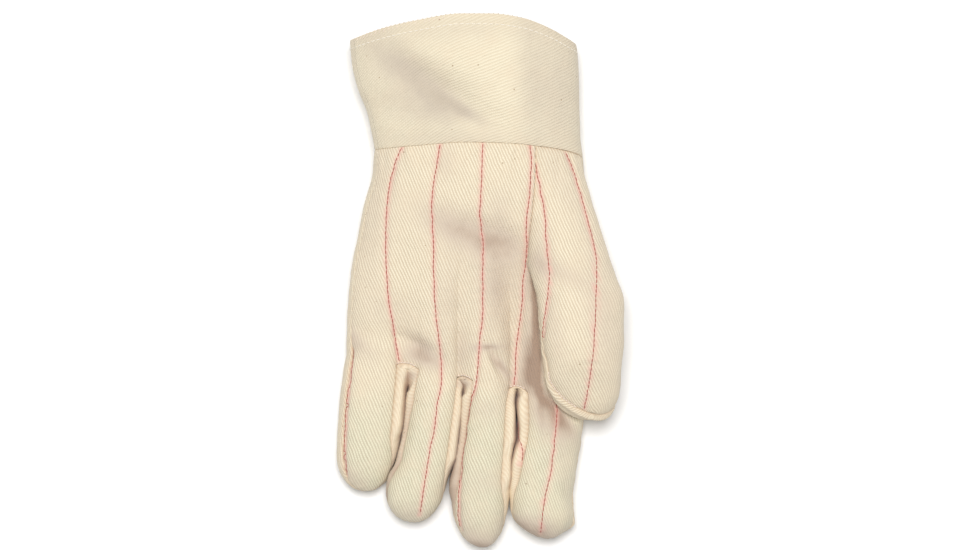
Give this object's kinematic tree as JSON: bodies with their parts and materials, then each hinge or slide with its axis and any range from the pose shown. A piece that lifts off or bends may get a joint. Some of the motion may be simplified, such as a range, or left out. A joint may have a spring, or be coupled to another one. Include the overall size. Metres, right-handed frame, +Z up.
{
  "type": "cotton work glove",
  "caption": "Quilted cotton work glove with a band cuff, palm up, hollow inside, made of sewn panels with the thumb lying over the palm.",
  "frame": {"origin": "middle of the glove's box, on the table that it lies on", "axes": "+Y from the fingertips to the cuff, +Z up out of the palm, +X to the thumb's side"},
  "size_m": [0.1428, 0.2662, 0.0523],
  "materials": {
    "quilted_cotton": "unbleached cotton twill, quilted",
    "plain_cotton": "unbleached cotton twill",
    "cuff_cotton": "unbleached cotton drill",
    "quilting_thread": "red quilting thread",
    "seam_thread": "pale seam and overlock thread"
  },
  "bodies": {
    "root": {"palm_panel": "quilted_cotton", "thumb_front": "quilted_cotton", "back_panel": "plain_cotton", "thumb_back": "plain_cotton", "little_ring_strip": "plain_cotton", "ring_middle_strip": "plain_cotton", "middle_index_strip": "plain_cotton", "cuff": "cuff_cotton"}
  },
  "joints": []
}
